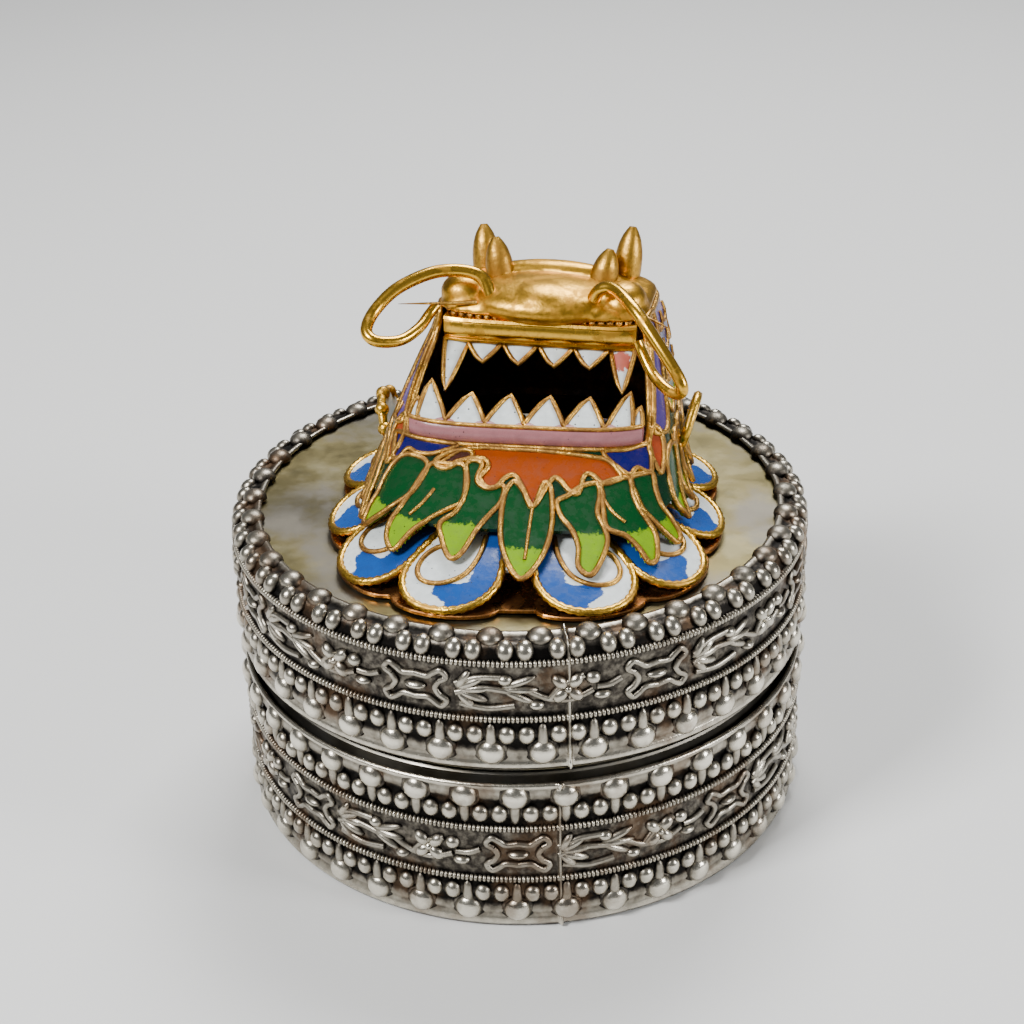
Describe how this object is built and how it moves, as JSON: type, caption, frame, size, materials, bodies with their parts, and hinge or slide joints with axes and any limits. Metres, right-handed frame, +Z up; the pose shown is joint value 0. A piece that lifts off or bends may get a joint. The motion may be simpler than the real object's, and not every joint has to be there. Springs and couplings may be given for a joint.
{
  "type": "cloisonne enamel box",
  "caption": "Round silver trinket box with a lift-off lid, bead and leaf strip round both halves, and a gilt and enamelled open-mouthed dragon head on the lid.",
  "frame": {"origin": "middle of the underside of the foot", "axes": "+Z up through the lid, with the dragon's head looking along -Y"},
  "size_m": [0.0712, 0.0712, 0.0681],
  "materials": {
    "cup_silver": "plain silver, slightly tarnished",
    "strip_silver": "stamped silver, worn bright on the relief and dark in the recesses",
    "lid_silver": "plain silver, dull and yellowish with smoky patches",
    "gilt": "gilt copper, worn",
    "cloud_enamel": "glossy blue and white enamel in gilt wire cells",
    "mane_enamel": "glossy green, blue and orange-red enamel in gilt wire cells",
    "lip_enamel": "dusty pink lip with white enamelled teeth",
    "tooth_enamel": "white enamelled teeth under a gilt band"
  },
  "bodies": {
    "root": {"base_cup": "cup_silver", "base_band": "strip_silver", "lid_cup": "lid_silver", "lid_band": "strip_silver", "head_plate": "gilt", "cloud_collar": "cloud_enamel", "mane": "mane_enamel", "lower_jaw": "lip_enamel", "upper_jaw": "tooth_enamel", "snout": "gilt", "horn_inner_left": "gilt", "horn_inner_right": "gilt", "horn_outer_left": "gilt", "horn_outer_right": "gilt", "whisker_left": "gilt", "whisker_right": "gilt", "bristle_left": "gilt", "bristle_right": "gilt"}
  },
  "joints": []
}
